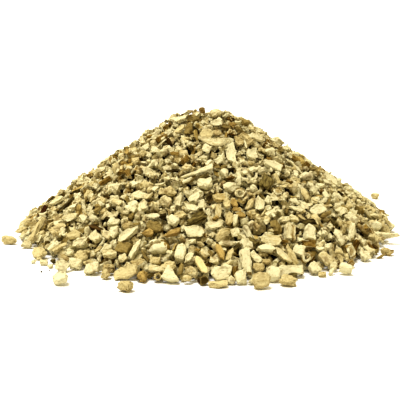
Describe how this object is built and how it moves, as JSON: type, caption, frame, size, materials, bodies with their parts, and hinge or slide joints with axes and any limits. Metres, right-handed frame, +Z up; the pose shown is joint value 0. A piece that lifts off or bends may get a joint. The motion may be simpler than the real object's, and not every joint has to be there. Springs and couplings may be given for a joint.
{
  "type": "heap of cut dried soapwort root",
  "caption": "Loose conical heap of cut, dried soapwort root: irregular pale wood chips with flakes, split sticks and strips of dark bark, on a flat base, with a few strays at its foot.",
  "frame": {"origin": "centre of the heap's flat base, on the surface that it lies on", "axes": "+Z up along the heap's axis, -Y towards the front as pictured, +X to the right seen from the front"},
  "size_m": [0.1763, 0.1826, 0.0553],
  "materials": {
    "pale_wood": "dry, matt, pale cream root wood",
    "tan_wood": "dry, matt, tan root wood",
    "brown_wood": "dry, matt, brown weathered root wood",
    "red_brown_wood": "dry, matt, red-brown inner bark",
    "bark": "dry, matt, grey-brown outer bark"
  },
  "bodies": {
    "root": {"heap": "pale_wood", "crown_knob": "bark", "crown_lump": "pale_wood", "crown_flake": "pale_wood", "bark_edged_chip": "brown_wood", "tan_leaf_flake": "tan_wood", "crown_disc": "tan_wood", "boat_flake": "pale_wood", "upright_flake": "pale_wood", "notched_flake": "pale_wood", "folded_flake": "pale_wood", "olive_bark": "bark", "long_sliver": "pale_wood", "two_lobed_lump": "pale_wood", "upper_leaf_flake": "pale_wood", "lower_leaf_flake": "pale_wood", "tan_almond": "tan_wood", "dark_bark_chip": "bark", "dark_root_end": "bark", "round_pale_lump": "pale_wood", "ragged_flake": "pale_wood", "red_brown_sliver": "red_brown_wood", "big_pale_flake": "pale_wood", "brown_block": "brown_wood", "leaning_stick": "pale_wood", "cracked_lump": "pale_wood", "oval_lump": "pale_wood", "broad_tan_flake": "tan_wood", "orange_knob": "red_brown_wood", "front_wedge": "pale_wood", "yellow_almond": "tan_wood", "red_almond": "red_brown_wood", "front_block": "pale_wood", "upright_stick": "pale_wood", "root_disc": "tan_wood", "front_pale_lump": "pale_wood", "overhanging_flake": "pale_wood", "striped_block": "pale_wood", "pale_block": "pale_wood", "round_stick": "pale_wood", "bell_knob": "pale_wood", "frayed_flake": "pale_wood", "spotted_knob": "tan_wood", "right_wedge": "pale_wood", "long_stick": "tan_wood", "tan_lump": "tan_wood", "front_left_flake": "pale_wood", "dark_bark_strip": "bark", "arched_flake": "pale_wood", "kidney_stray": "tan_wood", "front_stray": "tan_wood", "back_stray": "tan_wood", "back_flake": "pale_wood", "back_stick": "pale_wood", "back_lump": "pale_wood", "back_bark": "bark", "back_wedge": "pale_wood", "back_leaf": "pale_wood", "back_block": "pale_wood", "back_disc": "pale_wood"}
  },
  "joints": []
}
